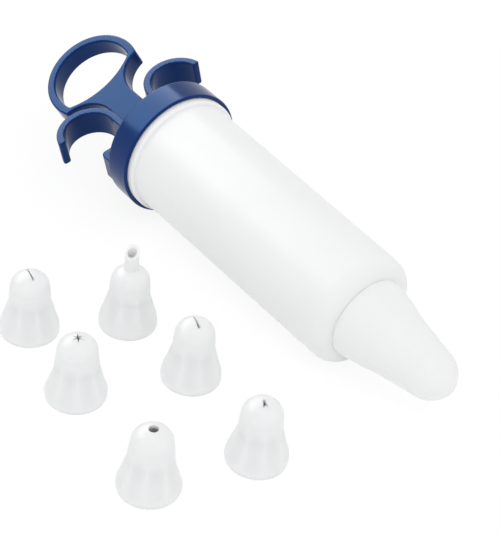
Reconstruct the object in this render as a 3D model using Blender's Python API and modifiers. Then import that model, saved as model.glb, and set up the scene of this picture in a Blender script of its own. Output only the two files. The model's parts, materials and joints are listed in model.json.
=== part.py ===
"""Cake decorating syringe with six loose piping tips, lying as it is laid out for use.

The syringe lies on its cap and on the shoulder of its barrel, nozzle end forward along +X.
Its own frame has +X along the barrel, and x = 0 at the front edge of the finger grip cap.
Everything is in metres. The tips stand on their open ends beside the barrel.
"""
import math

import bmesh
import bpy
from mathutils import Matrix, Vector

# General
FIT_GAP = 0.0003
CUT_OVERRUN = 0.002
MERGE = 0.00001
ROUND_STEPS = 40
SHARP_ANGLE = math.radians(34)

# Barrel
BARREL_LENGTH = 0.1097
BARREL_REAR_RADIUS = 0.0229
BARREL_DRAFT = 0.0012
SHOULDER_LENGTH = 0.0061
SHOULDER_DEPTH = 0.0060
SHOULDER_POWER = 2.3
SHOULDER_STEPS = 7
BARREL_WALL = 0.0016
BARREL_REAR_WALL = 0.0020
COLLAR_RISE = 0.0014
COLLAR_PROUD = 0.0027
COLLAR_CHAMFER = 0.0006
COLLAR_EDGE = 0.0005
BORE_FLOOR_ROUND = 0.0028
SEAT_SET_IN = 0.0021
SEAT_HEIGHT = 0.0026
SEAT_WALL = 0.0016
SEAT_EDGE = 0.0004
SPIGOT_ROOM = 0.0032
SPIGOT_DRAFT = 0.0021
SPIGOT_LENGTH = 0.0105
SPIGOT_WALL = 0.0015
SPIGOT_EDGE = 0.0004

# Finger grip cap
CAP_WALL = 0.0014
CAP_LENGTH = 0.0114
CAP_FLOOR = 0.0025
CAP_REAR_ROUND = 0.0010
CAP_FRONT_ROUND = 0.0004
STEM_CLEARANCE = 0.0004
CAP_ROLL = math.radians(17)
HOOK_CENTRE_BACK = 0.0302
HOOK_SET_IN = 0.0049
HOOK_INNER_RADIUS = 0.01025
HOOK_WALL = 0.0031
HOOK_DEPTH = 0.0112
HOOK_EDGE = 0.0006
HOOK_END_SHORT = 0.0018
HOOK_END_CORNER = 0.0010
LUG_BACK = 0.0057
LUG_WIDTH = 0.0054
LUG_SET_IN = 0.0010
LUG_OUTER_CORNER = 0.0021
LUG_INNER_CORNER = 0.0007
HOOK_ARC_POINTS = 16
CORNER_POINTS = 4

# Plunger
RING_CENTRE_BACK = 0.0585
RING_OUTER_RADIUS = 0.0202
RING_WIDTH = 0.0035
WEB_CENTRE_BEHIND = 0.0226
WEB_RADIUS = 0.0315
NOTCH_RADIUS = 0.0135
NOTCH_CENTRE_AHEAD = 0.0202
RING_TIP_ROUND = 0.0009
HOLE_CORNER_ROUND = 0.0008
PLATE_THICKNESS = 0.0086
PLATE_EDGE = 0.0008
STEM_HALF_WIDTH = 0.0062
STEM_END = 0.0060
PLUNGER_ROLL = math.radians(34)
RIB_THICKNESS = 0.0024
RIB_EDGE = 0.0003
ROD_DISC_RADIUS = 0.0066
ROD_DISC_THICKNESS = 0.0020
ROD_NECK_RADIUS = 0.0028
ROD_NECK_LENGTH = 0.0022
ROD_BUTTON_RADIUS = 0.0042
ROD_BUTTON_LENGTH = 0.0026
ROD_BUTTON_TAPER = 0.0010
RING_ARC_POINTS = 26
WEB_ARC_POINTS = 10
NOTCH_ARC_POINTS = 9

# Piston and its seal
PISTON_STEPS = 28
PISTON_LENGTH = 0.0105
PISTON_LAND = 0.0018
PISTON_GAP = 0.0006
PISTON_CHAMFER = 0.0026
PISTON_REAR_EDGE = 0.0004
GROOVE_DEPTH = 0.0028
SEAL_LIP = 0.0012
SEAL_WAIST_DEPTH = 0.0007
SOCKET_GAP = 0.0004

# Nozzle cover
COVER_COLLAR_LENGTH = 0.0150
COVER_COLLAR_POWER = 1.4
COVER_COLLAR_DROP = 0.0033
COVER_CONE_LENGTH = 0.0180
COVER_CONE_TAPER = 0.0032
COVER_NOSE_LENGTH = 0.0090
COVER_NOSE_POWER = 1.65
COVER_STEPS = 6
COVER_WALL = 0.0014
COVER_ROOT_EDGE = 0.0009
COVER_SEAT_DEPTH = 0.0030

# Tips
TIP_HEIGHT = 0.0248
TIP_FOOT_TUCK = 0.0003
TIP_WIDEST_RADIUS = 0.0106
TIP_WIDEST_HEIGHT = 0.0014
TIP_SKIRT_RADIUS = 0.0091
TIP_SKIRT_HEIGHT = 0.0075
TIP_NECK_RADIUS = 0.0077
TIP_NECK_HEIGHT = 0.0135
TIP_DOME_RADIUS = 0.00695
TIP_DOME_START = 0.0185
TIP_DOME_POWER = 2.2
TIP_DOME_STEPS = 5
TIP_WALL = 0.0013
TIP_FLATS = 8
TIP_FLAT_FOOT_CLEAR = 0.0005
TIP_FLAT_NECK_CUT = 0.0007
TIP_FLAT_NECK_HEIGHT = 0.0130
TIP_FLAT_TOP_FLARE = 0.0016
TIP_STEPS = 32
TIP_BORE_STEPS = 20
SLIT_WIDTH = 0.0005
LONG_SLIT_REACH = 0.0032
SHORT_SLIT_REACH = 0.0031
SLIT_REAR_REACH = 0.0034
LEAF_SLIT_WIDTH = 0.0006
LEAF_SLIT_FLARE = 0.0015
LEAF_SLIT_NOTCH = 0.0009
LEAF_SLIT_REACH = 0.0025
ROUND_OUTLET_RADIUS = 0.0016
STAR_OUTER_RADIUS = 0.0023
STAR_INNER_RADIUS = 0.0008
STAR_POINTS = 6
TUBE_RADIUS = 0.0025
TUBE_BORE_RADIUS = 0.0016
TUBE_LENGTH = 0.0084
TUBE_STEPS = 16
TUBE_CUT_ANGLE = math.radians(35)

# Where each tip stands: distance forward of the cap's front edge, distance to the side, turn
LONG_SLIT_TIP_PLACE = (0.0335, -0.0881, math.radians(-12))
TUBE_TIP_PLACE = (0.0484, -0.0565, math.radians(-57))
STAR_TIP_PLACE = (0.0702, -0.0926, math.radians(-30))
SHORT_SLIT_TIP_PLACE = (0.0836, -0.0545, math.radians(-18))
ROUND_TIP_PLACE = (0.1179, -0.0964, math.radians(0))
LEAF_TIP_PLACE = (0.1265, -0.0598, math.radians(-28))

# Colours, roughness
BLUE_PLASTIC = (0.075, 0.145, 0.355, 1.0)
WHITE_PLASTIC = (0.86, 0.87, 0.87, 1.0)
SEAL_RUBBER = (0.70, 0.71, 0.70, 1.0)
BLUE_ROUGHNESS = 0.32
WHITE_ROUGHNESS = 0.38
RUBBER_ROUGHNESS = 0.62


def clear_scene():
    """Remove what the open file holds."""
    for item in list(bpy.data.objects):
        bpy.data.objects.remove(item, do_unlink=True)


def collection(name):
    """Make a collection under the scene."""
    group = bpy.data.collections.new(name)
    bpy.context.scene.collection.children.link(group)
    return group


def material(name, colour, roughness):
    """Make one Principled BSDF plastic."""
    item = bpy.data.materials.new(name)
    item.use_nodes = True
    item.diffuse_color = colour
    shader = item.node_tree.nodes["Principled BSDF"]
    shader.inputs["Base Color"].default_value = colour
    shader.inputs["Roughness"].default_value = roughness
    shader.inputs["Metallic"].default_value = 0.0
    return item


def empty(name, parent=None, location=(0, 0, 0), rotation=(0, 0, 0)):
    """Add an empty that carries pieces or stands on a joint's axis."""
    item = bpy.data.objects.new(name, None)
    item.location = location
    item.rotation_euler = rotation
    item.parent = parent
    PARTS.objects.link(item)
    return item


def add_mesh(name, mesh, group, parent, colour=None):
    """Link a mesh as an object below its parent."""
    item = bpy.data.objects.new(name, mesh)
    item.parent = parent
    group.objects.link(item)
    if colour:
        mesh.materials.append(colour)
    return item


def along_axis(item):
    """Turn a piece whose own Z is its axis of revolution to lie along the parent's X."""
    item.rotation_euler = (0, math.radians(90), 0)
    return item


def smooth(mesh):
    """Shade round faces smooth and keep real edges sharp."""
    mesh.shade_smooth()
    mesh.set_sharp_from_angle(angle=SHARP_ANGLE)


def turned(name, profile, group, parent, colour=None, steps=ROUND_STEPS, closed=True):
    """Turn a profile of (radius, height) points about Z; outer side first, from top to bottom."""
    mesh = bpy.data.meshes.new(name)
    points = [(radius, 0, height) for radius, height in profile]
    edges = [(i, i + 1) for i in range(len(points) - 1)]
    if closed:
        edges.append((len(points) - 1, 0))
    mesh.from_pydata(points, edges, [])
    item = add_mesh(name, mesh, group, parent, colour)
    screw = item.modifiers.new("turn", "SCREW")
    screw.axis = "Z"
    screw.steps = steps
    screw.render_steps = steps
    screw.use_merge_vertices = True
    screw.merge_threshold = MERGE
    screw.use_smooth_shade = True
    return item


def outline_plate(name, outlines, thickness, edge, group, parent, colour=None):
    """Extrude flat closed outlines in XY to a plate about z = 0, with its rims rounded."""
    curve = bpy.data.curves.new(name, "CURVE")
    curve.dimensions = "2D"
    curve.fill_mode = "BOTH"
    curve.extrude = thickness / 2 - edge
    curve.bevel_depth = edge
    curve.bevel_resolution = 1
    curve.offset = -edge
    for outline in outlines:
        spline = curve.splines.new("POLY")
        spline.points.add(len(outline) - 1)
        for point, (x, y) in zip(spline.points, outline):
            point.co = (x, y, 0, 1)
        spline.use_cyclic_u = True
    item = bpy.data.objects.new(name, curve)
    group.objects.link(item)
    item.parent = parent
    return as_mesh(item, group, colour)


def as_mesh(item, group, colour=None):
    """Replace a curve by its welded mesh, under the same name and in the same place."""
    bpy.context.view_layer.update()
    name, parent = item.name, item.parent
    seen = item.evaluated_get(bpy.context.evaluated_depsgraph_get())
    mesh = bpy.data.meshes.new_from_object(seen)
    place = item.matrix_basis.copy()
    bpy.data.objects.remove(item, do_unlink=True)
    grid = bmesh.new()
    grid.from_mesh(mesh)
    bmesh.ops.remove_doubles(grid, verts=grid.verts, dist=MERGE)
    bmesh.ops.recalc_face_normals(grid, faces=grid.faces)
    grid.to_mesh(mesh)
    grid.free()
    mesh.materials.clear()
    copy = add_mesh(name, mesh, group, parent, colour)
    copy.matrix_basis = place
    return copy


def box(name, size, centre, edge, group, parent):
    """Add a box of a given size with its edges broken."""
    mesh = bpy.data.meshes.new(name)
    grid = bmesh.new()
    bmesh.ops.create_cube(grid, size=1.0, matrix=Matrix.Diagonal((*size, 1)))
    grid.to_mesh(mesh)
    grid.free()
    item = add_mesh(name, mesh, group, parent)
    item.location = centre
    if edge:
        bevel = item.modifiers.new("edges", "BEVEL")
        bevel.width = edge
        bevel.segments = 1
    return item


def combine(item, other, operation):
    """Join or cut a piece with a hidden guide body."""
    step = item.modifiers.new(operation.lower() + "_" + other.name, "BOOLEAN")
    step.operation = operation
    step.object = other
    step.solver = "EXACT"
    other.hide_render = True
    other.display_type = "WIRE"


def settle(item):
    """Apply a piece's modifiers, in order, and shade the result."""
    bpy.context.view_layer.update()
    seen = item.evaluated_get(bpy.context.evaluated_depsgraph_get())
    mesh = bpy.data.meshes.new_from_object(seen)
    item.modifiers.clear()
    item.data = mesh
    smooth(mesh)
    return item


def arc(centre, radius, start, end, count):
    """Points on an arc from start to end angle in degrees, both ends included."""
    angles = [math.radians(start + (end - start) * i / count) for i in range(count + 1)]
    return [(centre[0] + radius * math.cos(a), centre[1] + radius * math.sin(a)) for a in angles]


def mirrored(outline):
    """The same outline on the other side of the axis, run the other way."""
    return [(x, -y) for x, y in reversed(outline)]


def blend(start, end, share):
    """A value part of the way from start to end."""
    return start + (end - start) * share


def bore_radius(x):
    """Radius of the drafted bore at a distance forward of the cap's front edge."""
    return blend(BORE_REAR_RADIUS, BARREL_FRONT_RADIUS - BARREL_WALL, x / SHOULDER_START)


# Radii and places that follow from the sizes above
BARREL_FRONT_RADIUS = BARREL_REAR_RADIUS - BARREL_DRAFT
BORE_REAR_RADIUS = BARREL_REAR_RADIUS - BARREL_REAR_WALL
COLLAR_RADIUS = BARREL_REAR_RADIUS + COLLAR_RISE
CAP_MOUTH_RADIUS = COLLAR_RADIUS + FIT_GAP
CAP_RADIUS = CAP_MOUTH_RADIUS + CAP_WALL
HOOK_CENTRE_SIDE = CAP_RADIUS - HOOK_SET_IN
LUG_SIDE = CAP_RADIUS - LUG_SET_IN
COVER_ROOT_RADIUS = BARREL_FRONT_RADIUS - SHOULDER_DEPTH
COVER_NECK_RADIUS = COVER_ROOT_RADIUS - COVER_COLLAR_DROP
COVER_END_RADIUS = COVER_NECK_RADIUS - COVER_CONE_TAPER
SEAT_RADIUS = COVER_ROOT_RADIUS - SEAT_SET_IN
SPIGOT_ROOT_RADIUS = SEAT_RADIUS - SEAT_WALL - SPIGOT_ROOM
SPIGOT_END_RADIUS = SPIGOT_ROOT_RADIUS - SPIGOT_DRAFT
STEM_CORNER = math.hypot(STEM_HALF_WIDTH - PLATE_EDGE, PLATE_THICKNESS / 2 - PLATE_EDGE)
CAP_HOLE_RADIUS = STEM_CORNER + PLATE_EDGE + STEM_CLEARANCE
RING_HOLE_RADIUS = RING_OUTER_RADIUS - RING_WIDTH
WEB_CENTRE_BACK = RING_CENTRE_BACK + WEB_CENTRE_BEHIND
NOTCH_CENTRE_BACK = RING_CENTRE_BACK - NOTCH_CENTRE_AHEAD
TIP_FOOT_RADIUS = TIP_WIDEST_RADIUS - TIP_FOOT_TUCK
TIP_FLAT_FOOT_RADIUS = TIP_WIDEST_RADIUS + TIP_FLAT_FOOT_CLEAR
TIP_FLAT_NECK_RADIUS = TIP_NECK_RADIUS - TIP_FLAT_NECK_CUT
SHOULDER_START = BARREL_LENGTH - SHOULDER_LENGTH
BARREL_REAR = -(CAP_LENGTH - CAP_FLOOR - FIT_GAP)
BORE_FLOOR = BARREL_LENGTH - BARREL_WALL
PISTON_FRONT = BORE_FLOOR - PISTON_GAP
PISTON_REAR = PISTON_FRONT - PISTON_LENGTH
SEAL_RADIUS = bore_radius(PISTON_FRONT) - FIT_GAP
PISTON_RADIUS = SEAL_RADIUS - FIT_GAP
ROD_END = PISTON_REAR - SOCKET_GAP
COVER_BASE = BARREL_LENGTH + FIT_GAP


def shoulder_curve():
    """Rounded front end of the barrel, from its front face back to the start of the tube."""
    points = []
    for i in range(SHOULDER_STEPS + 1):
        angle = math.radians(90 * (1 - i / SHOULDER_STEPS))
        reach = math.sin(angle) ** (2 / SHOULDER_POWER)
        drop = 1 - max(math.cos(angle), 0) ** (2 / SHOULDER_POWER)
        radius = BARREL_FRONT_RADIUS - SHOULDER_DEPTH * drop
        points.append((radius, SHOULDER_START + SHOULDER_LENGTH * reach))
    return points


def resting_place():
    """Nose-down tilt and axis height with cap rim and barrel shoulder both on the ground."""
    rise = CAP_RADIUS - BARREL_FRONT_RADIUS
    tilt = math.atan2(rise, SHOULDER_START + CAP_FRONT_ROUND)
    height = CAP_RADIUS * math.cos(tilt) - CAP_FRONT_ROUND * math.sin(tilt)
    return tilt, height


def make_barrel(frame):
    """Drafted tube, rear collar, round shoulder, seat ring for the cover and open spigot."""
    outer = [
        (COLLAR_RADIUS - COLLAR_CHAMFER, COLLAR_PROUD),
        (COLLAR_RADIUS, COLLAR_PROUD - COLLAR_CHAMFER),
        (COLLAR_RADIUS, BARREL_REAR + COLLAR_EDGE),
        (COLLAR_RADIUS - COLLAR_EDGE, BARREL_REAR),
    ]
    bore = [
        (BORE_REAR_RADIUS + COLLAR_EDGE, BARREL_REAR),
        (BORE_REAR_RADIUS, BARREL_REAR + COLLAR_EDGE),
        (bore_radius(BORE_FLOOR - BORE_FLOOR_ROUND), BORE_FLOOR - BORE_FLOOR_ROUND),
    ]
    floor_edge = bore_radius(BORE_FLOOR) - BORE_FLOOR_ROUND
    round_in = arc((floor_edge, BORE_FLOOR - BORE_FLOOR_ROUND), BORE_FLOOR_ROUND, 30, 90, 2)
    bore += round_in
    spigot_end = BARREL_LENGTH + SPIGOT_LENGTH
    bore += [
        (SPIGOT_ROOT_RADIUS - SPIGOT_WALL, BORE_FLOOR),
        (SPIGOT_END_RADIUS - SPIGOT_WALL, spigot_end),
    ]
    spigot = [
        (SPIGOT_END_RADIUS - SPIGOT_EDGE, spigot_end),
        (SPIGOT_END_RADIUS, spigot_end - SPIGOT_EDGE),
        (SPIGOT_ROOT_RADIUS, BARREL_LENGTH),
    ]
    seat_top = BARREL_LENGTH + SEAT_HEIGHT
    seat = [
        (SEAT_RADIUS - SEAT_WALL, BARREL_LENGTH),
        (SEAT_RADIUS - SEAT_WALL, seat_top),
        (SEAT_RADIUS - SEAT_EDGE, seat_top),
        (SEAT_RADIUS, seat_top - SEAT_EDGE),
        (SEAT_RADIUS, BARREL_LENGTH),
    ]
    root = [(BARREL_REAR_RADIUS, COLLAR_PROUD)]
    profile = spigot + seat + shoulder_curve() + root + outer + bore
    item = along_axis(turned("barrel", profile, PARTS, frame, WHITE))
    return settle(item)


def finger_hook():
    """One hook's outline: straight leg off the cap, then three quarters of an open ring."""
    centre = (-HOOK_CENTRE_BACK, HOOK_CENTRE_SIDE)
    outer_radius = HOOK_INNER_RADIUS + HOOK_WALL
    inside = -(CAP_LENGTH - CAP_FLOOR / 2)
    end = centre[0] - HOOK_END_SHORT - HOOK_END_CORNER
    outer_corner = (end, centre[1] + outer_radius - HOOK_END_CORNER)
    inner_corner = (end, centre[1] + HOOK_INNER_RADIUS + HOOK_END_CORNER)
    outer_stop = 90 + math.degrees((HOOK_END_SHORT + HOOK_END_CORNER) / outer_radius)
    inner_stop = 90 + math.degrees((HOOK_END_SHORT + HOOK_END_CORNER) / HOOK_INNER_RADIUS)
    outline = [(inside, HOOK_CENTRE_SIDE - outer_radius)]
    outline += arc(centre, outer_radius, 270, outer_stop, HOOK_ARC_POINTS)
    outline += arc(outer_corner, HOOK_END_CORNER, 60, 0, 2)
    outline += arc(inner_corner, HOOK_END_CORNER, 0, -60, 2)
    outline += arc(centre, HOOK_INNER_RADIUS, inner_stop, 270, HOOK_ARC_POINTS)
    outline += [(inside, HOOK_CENTRE_SIDE - HOOK_INNER_RADIUS)]
    return outline


def finger_lug():
    """Outline of the short lug that faces the hook's open end from the cap's rim."""
    inside = -(CAP_LENGTH - CAP_FLOOR / 2)
    back = -(CAP_LENGTH + LUG_BACK)
    inner_side = LUG_SIDE - LUG_WIDTH
    inner = (back + LUG_INNER_CORNER, inner_side + LUG_INNER_CORNER)
    outer = (back + LUG_OUTER_CORNER, LUG_SIDE - LUG_OUTER_CORNER)
    outline = [(inside, inner_side)]
    outline += arc(inner, LUG_INNER_CORNER, 270, 180, 2)
    outline += arc(outer, LUG_OUTER_CORNER, 180, 90, CORNER_POINTS)
    outline += [(inside, LUG_SIDE)]
    return outline


def make_cap(frame):
    """Round cap over the barrel's collar with two open finger hooks moulded on its back."""
    rear = -CAP_LENGTH
    profile = arc((CAP_RADIUS - CAP_FRONT_ROUND, -CAP_FRONT_ROUND), CAP_FRONT_ROUND, 90, 0, 2)
    profile += arc((CAP_RADIUS - CAP_REAR_ROUND, rear + CAP_REAR_ROUND), CAP_REAR_ROUND, 0, -90, 3)
    profile += [
        (CAP_HOLE_RADIUS, rear),
        (CAP_HOLE_RADIUS, rear + CAP_FLOOR),
        (CAP_MOUTH_RADIUS, rear + CAP_FLOOR),
        (CAP_MOUTH_RADIUS, 0),
    ]
    shell = along_axis(turned("cap_shell", profile, GUIDES, frame))
    side = [finger_hook(), finger_lug()]
    outlines = side + [mirrored(outline) for outline in side]
    cap = outline_plate("grip_cap", outlines, HOOK_DEPTH, HOOK_EDGE, PARTS, frame, BLUE)
    combine(cap, shell, "UNION")
    return settle(cap)


def ring_outline():
    """The thumb ring's outer edge, its two round notches and the stem, one closed outline."""
    ring = (-RING_CENTRE_BACK, 0)
    notch_side = STEM_HALF_WIDTH + NOTCH_RADIUS
    notch = (-NOTCH_CENTRE_BACK, notch_side)
    reach = math.hypot(notch[0] - ring[0], notch[1])
    along = (reach ** 2 + RING_OUTER_RADIUS ** 2 - NOTCH_RADIUS ** 2) / (2 * reach)
    aim = math.degrees(math.atan2(notch[1], notch[0] - ring[0]))
    spread = math.degrees(math.acos(along / RING_OUTER_RADIUS))
    shoulder = aim + spread
    trim = math.degrees(RING_TIP_ROUND / RING_OUTER_RADIUS)
    meet_x = ring[0] + RING_OUTER_RADIUS * math.cos(math.radians(shoulder))
    meet_y = RING_OUTER_RADIUS * math.sin(math.radians(shoulder))
    notch_end = math.degrees(math.atan2(meet_y - notch[1], meet_x - notch[0])) % 360
    notch_trim = math.degrees(RING_TIP_ROUND / NOTCH_RADIUS)
    half = arc(notch, NOTCH_RADIUS, 270, notch_end + notch_trim, NOTCH_ARC_POINTS)
    back = arc(ring, RING_OUTER_RADIUS, shoulder + trim, 360 - shoulder - trim, RING_ARC_POINTS)
    front = [(STEM_END, STEM_HALF_WIDTH)]
    return front + half + back + mirrored(front + half)


def ring_hole():
    """The thumb hole: the round of the ring cut off by the shallow arc of the web."""
    ring = (-RING_CENTRE_BACK, 0)
    web = (-WEB_CENTRE_BACK, 0)
    apart = WEB_CENTRE_BACK - RING_CENTRE_BACK
    along = (apart ** 2 + RING_HOLE_RADIUS ** 2 - WEB_RADIUS ** 2) / (2 * apart)
    corner = 180 - math.degrees(math.acos(along / RING_HOLE_RADIUS))
    corner_y = RING_HOLE_RADIUS * math.sin(math.radians(corner))
    web_corner = math.degrees(math.asin(corner_y / WEB_RADIUS))
    trim = math.degrees(HOLE_CORNER_ROUND / RING_HOLE_RADIUS)
    web_trim = math.degrees(HOLE_CORNER_ROUND / WEB_RADIUS)
    hole = arc(ring, RING_HOLE_RADIUS, corner + trim, 360 - corner - trim, RING_ARC_POINTS)
    hole += arc(web, WEB_RADIUS, web_trim - web_corner, web_corner - web_trim, WEB_ARC_POINTS)
    return hole


def make_plunger(frame):
    """Thumb ring plate, crossed ribs behind it, and the button that snaps into the piston."""
    outlines = [ring_outline(), ring_hole()]
    item = outline_plate("plunger", outlines, PLATE_THICKNESS, PLATE_EDGE, PARTS, frame, BLUE)
    rib_start = -CAP_LENGTH
    rib_end = ROD_END - ROD_DISC_THICKNESS / 2
    length = rib_end - rib_start
    middle = ((rib_start + rib_end) / 2, 0, 0)
    width = 2 * STEM_HALF_WIDTH
    flat = box("rib_flat", (length, width, RIB_THICKNESS), middle, RIB_EDGE, GUIDES, frame)
    cross = box("rib_cross", (length, RIB_THICKNESS, width), middle, RIB_EDGE, GUIDES, frame)
    neck_end = ROD_END + ROD_NECK_LENGTH
    button_end = neck_end + ROD_BUTTON_LENGTH
    profile = [
        (0, button_end),
        (ROD_BUTTON_RADIUS - ROD_BUTTON_TAPER, button_end),
        (ROD_BUTTON_RADIUS, neck_end + ROD_BUTTON_TAPER),
        (ROD_BUTTON_RADIUS, neck_end),
        (ROD_NECK_RADIUS, neck_end),
        (ROD_NECK_RADIUS, ROD_END),
        (ROD_DISC_RADIUS, ROD_END),
        (ROD_DISC_RADIUS, ROD_END - ROD_DISC_THICKNESS),
        (0, ROD_END - ROD_DISC_THICKNESS),
    ]
    button = along_axis(turned("rod_button", profile, GUIDES, frame, closed=False))
    for guide in (flat, cross, button):
        combine(item, guide, "UNION")
    return settle(item)


def make_piston(frame):
    """Piston head with a groove round it for the seal and a socket for the plunger's button."""
    groove_radius = PISTON_RADIUS - GROOVE_DEPTH
    front_land = PISTON_FRONT - PISTON_CHAMFER - PISTON_LAND
    rear_land = PISTON_REAR + PISTON_LAND
    socket_front = ROD_END + ROD_NECK_LENGTH + ROD_BUTTON_LENGTH + SOCKET_GAP
    lip_front = ROD_END + ROD_NECK_LENGTH - SOCKET_GAP
    profile = [
        (0, PISTON_FRONT),
        (PISTON_RADIUS - PISTON_CHAMFER, PISTON_FRONT),
        (PISTON_RADIUS, PISTON_FRONT - PISTON_CHAMFER),
        (PISTON_RADIUS, front_land),
        (groove_radius, front_land),
        (groove_radius, rear_land),
        (PISTON_RADIUS, rear_land),
        (PISTON_RADIUS, PISTON_REAR + PISTON_REAR_EDGE),
        (PISTON_RADIUS - PISTON_REAR_EDGE, PISTON_REAR),
        (ROD_NECK_RADIUS + SOCKET_GAP, PISTON_REAR),
        (ROD_NECK_RADIUS + SOCKET_GAP, lip_front),
        (ROD_BUTTON_RADIUS + SOCKET_GAP, lip_front),
        (ROD_BUTTON_RADIUS + SOCKET_GAP, socket_front),
        (0, socket_front),
    ]
    head = turned("piston_head", profile, PARTS, frame, WHITE, PISTON_STEPS, closed=False)
    settle(along_axis(head))
    seal_front = front_land - FIT_GAP
    seal_rear = rear_land + FIT_GAP
    inner = groove_radius + FIT_GAP
    waist = SEAL_RADIUS - SEAL_WAIST_DEPTH
    seal_profile = [
        (inner, seal_front),
        (SEAL_RADIUS - FIT_GAP, seal_front),
        (SEAL_RADIUS, seal_front - SEAL_LIP / 2),
        (waist, seal_front - SEAL_LIP),
        (waist, seal_rear + SEAL_LIP),
        (SEAL_RADIUS, seal_rear + SEAL_LIP / 2),
        (SEAL_RADIUS - FIT_GAP, seal_rear),
        (inner, seal_rear),
    ]
    seal = turned("piston_seal", seal_profile, PARTS, frame, RUBBER, PISTON_STEPS)
    settle(along_axis(seal))


def nose_curve(radius, length, base, power, count):
    """Round end of a turned piece, from its apex to one step above its base."""
    points = []
    for i in range(count):
        angle = math.radians(90 * (1 - i / count))
        across = radius * math.cos(angle) ** (2 / power)
        points.append((across, base + length * math.sin(angle) ** (2 / power)))
    return points


def cover_curve(count, inset=0):
    """Outside of the nozzle cover from its nose back to its root, or the same set in by a wall."""
    neck = COVER_BASE + COVER_COLLAR_LENGTH
    cone_end = neck + COVER_CONE_LENGTH
    nose = (COVER_END_RADIUS - inset, COVER_NOSE_LENGTH - inset, cone_end)
    points = nose_curve(*nose, COVER_NOSE_POWER, count)
    points.append((COVER_END_RADIUS - inset, cone_end))
    points.append((COVER_NECK_RADIUS - inset, neck))
    for i in range(1, count):
        share = 1 - i / count
        radius = COVER_ROOT_RADIUS - COVER_COLLAR_DROP * share ** COVER_COLLAR_POWER
        points.append((radius - inset, COVER_BASE + COVER_COLLAR_LENGTH * share))
    return points


def make_cover(frame):
    """Hollow smooth cone with a round closed nose, pushed on the barrel's seat ring."""
    root = [
        (COVER_ROOT_RADIUS, COVER_BASE + COVER_ROOT_EDGE),
        (COVER_ROOT_RADIUS - COVER_ROOT_EDGE, COVER_BASE),
    ]
    seat = SEAT_RADIUS + FIT_GAP
    bore = [(seat, COVER_BASE), (seat, COVER_BASE + COVER_SEAT_DEPTH)]
    neck = COVER_BASE + COVER_COLLAR_LENGTH
    inner = [point for point in cover_curve(COVER_STEPS, COVER_WALL) if point[1] >= neck]
    profile = cover_curve(COVER_STEPS) + root + bore + list(reversed(inner))
    item = along_axis(turned("nozzle_cover", profile, PARTS, frame, WHITE, closed=False))
    return settle(item)


def tip_profile(inset=0):
    """Bell curve of a tip from its crown down to its foot, or the same set in by a wall."""
    radius = TIP_DOME_RADIUS - inset
    dome = TIP_HEIGHT - TIP_DOME_START - inset
    points = nose_curve(radius, dome, TIP_DOME_START, TIP_DOME_POWER, TIP_DOME_STEPS)
    points.append((radius, TIP_DOME_START))
    points.append((TIP_NECK_RADIUS - inset, TIP_NECK_HEIGHT))
    points.append((TIP_SKIRT_RADIUS - inset, TIP_SKIRT_HEIGHT))
    points.append((TIP_WIDEST_RADIUS - inset, TIP_WIDEST_HEIGHT))
    points.append((TIP_FOOT_RADIUS - inset, 0))
    return points


def flats_profile():
    """Corner profile of the eight-sided body that cuts the flats and arched tops of the skirt."""
    corner = 1 / math.cos(math.pi / TIP_FLATS)
    slope = (TIP_FLAT_NECK_RADIUS - TIP_FLAT_FOOT_RADIUS) / TIP_FLAT_NECK_HEIGHT
    top = TIP_HEIGHT + CUT_OVERRUN
    top_radius = TIP_FLAT_NECK_RADIUS + TIP_FLAT_TOP_FLARE
    foot_radius = TIP_FLAT_FOOT_RADIUS - slope * CUT_OVERRUN
    return [
        (0, top),
        (top_radius * corner, top),
        (TIP_FLAT_NECK_RADIUS * corner, TIP_FLAT_NECK_HEIGHT),
        (foot_radius * corner, -CUT_OVERRUN),
        (0, -CUT_OVERRUN),
    ]


def make_tip(name, place, cutters, tube=False):
    """One tip: bell turned to a dome, eight flats on its skirt, hollow, with its outlet cut."""
    frame = empty(name + "_lift", SET, (place[0], place[1], 0), (0, 0, place[2]))
    body = tip_profile() + [(0, 0)]
    item = turned(name, body, PARTS, frame, WHITE, TIP_STEPS, closed=False)
    flats = turned(name + "_flats", flats_profile(), GUIDES, frame, None, TIP_FLATS, closed=False)
    combine(item, flats, "INTERSECT")
    if tube:
        pipe = bar_of_round(name + "_tube", TUBE_RADIUS, TIP_HEIGHT + TUBE_LENGTH, frame)
        combine(item, pipe, "UNION")
    inner = tip_profile(TIP_WALL)
    inner += [(TIP_FOOT_RADIUS - TIP_WALL, -CUT_OVERRUN), (0, -CUT_OVERRUN)]
    hollow = turned(name + "_hollow", inner, GUIDES, frame, None, TIP_BORE_STEPS, closed=False)
    combine(item, hollow, "DIFFERENCE")
    for make_cutter in cutters:
        combine(item, make_cutter(name, frame), "DIFFERENCE")
    return settle(item)


def bar_of_round(name, radius, top, frame):
    """Round bar on the tip's axis, from inside the dome up to a given height."""
    low = TIP_DOME_START
    profile = [(0, top), (radius, top), (radius, low), (0, low)]
    return turned(name, profile, GUIDES, frame, None, TUBE_STEPS, closed=False)


def outlet_prism(name, outline, frame):
    """Upright prism through the crown that cuts an outlet of the given outline."""
    height = TIP_HEIGHT - TIP_DOME_START + CUT_OVERRUN
    prism = outline_plate(name, [outline], height, 0, GUIDES, frame)
    prism.location = (0, 0, TIP_DOME_START + height / 2)
    return prism


def long_slit_cutter(name, frame):
    """Straight thin slit over the crown, longer on the side towards +X."""
    half = SLIT_WIDTH / 2
    ends = (-SLIT_REAR_REACH, LONG_SLIT_REACH)
    outline = [(ends[0], half), (ends[0], -half), (ends[1], -half), (ends[1], half)]
    return outlet_prism(name + "_outlet", outline, frame)


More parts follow.
